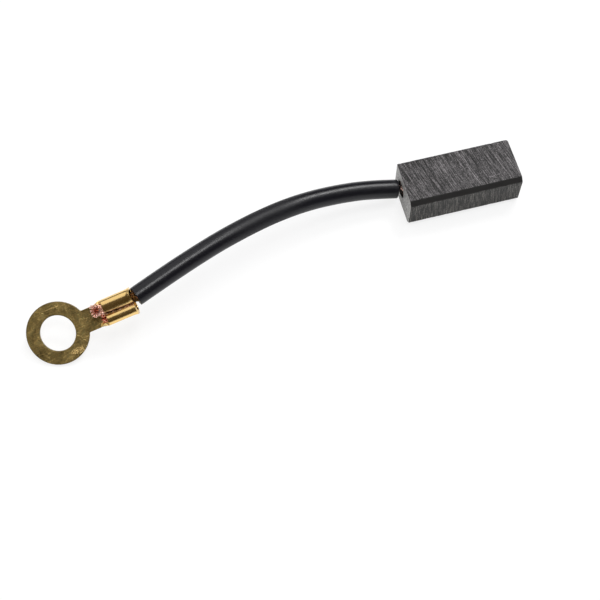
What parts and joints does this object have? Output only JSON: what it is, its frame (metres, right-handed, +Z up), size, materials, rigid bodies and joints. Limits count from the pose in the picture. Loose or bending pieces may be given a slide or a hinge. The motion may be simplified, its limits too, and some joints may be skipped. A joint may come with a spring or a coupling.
{
  "type": "carbon brush",
  "caption": "Rectangular carbon brush with a sleeved copper flexible set in its end and a crimped brass ring terminal on the other end of the lead.",
  "frame": {"origin": "middle of the carbon block's underside, on the surface that the part lies on", "axes": "+X along the block towards its contact face, the lead leaves at -X; +Z up from the surface; -Y is the bevelled side"},
  "size_m": [0.0925, 0.0208, 0.0122],
  "materials": {
    "carbon": "sawn carbon graphite, dull with fine saw streaks",
    "tamping": "pressed conductive powder, dull",
    "copper": "bunched bare copper strands, satin",
    "sleeve": "black plastic sleeve, soft sheen",
    "brass": "stamped brass sheet, bright at the crimp, dulled on the ring"
  },
  "bodies": {
    "root": {"carbon_block": "carbon", "tamping": "tamping", "insulating_sleeve": "sleeve", "copper_flexible": "copper", "ring_terminal": "brass"}
  },
  "joints": []
}
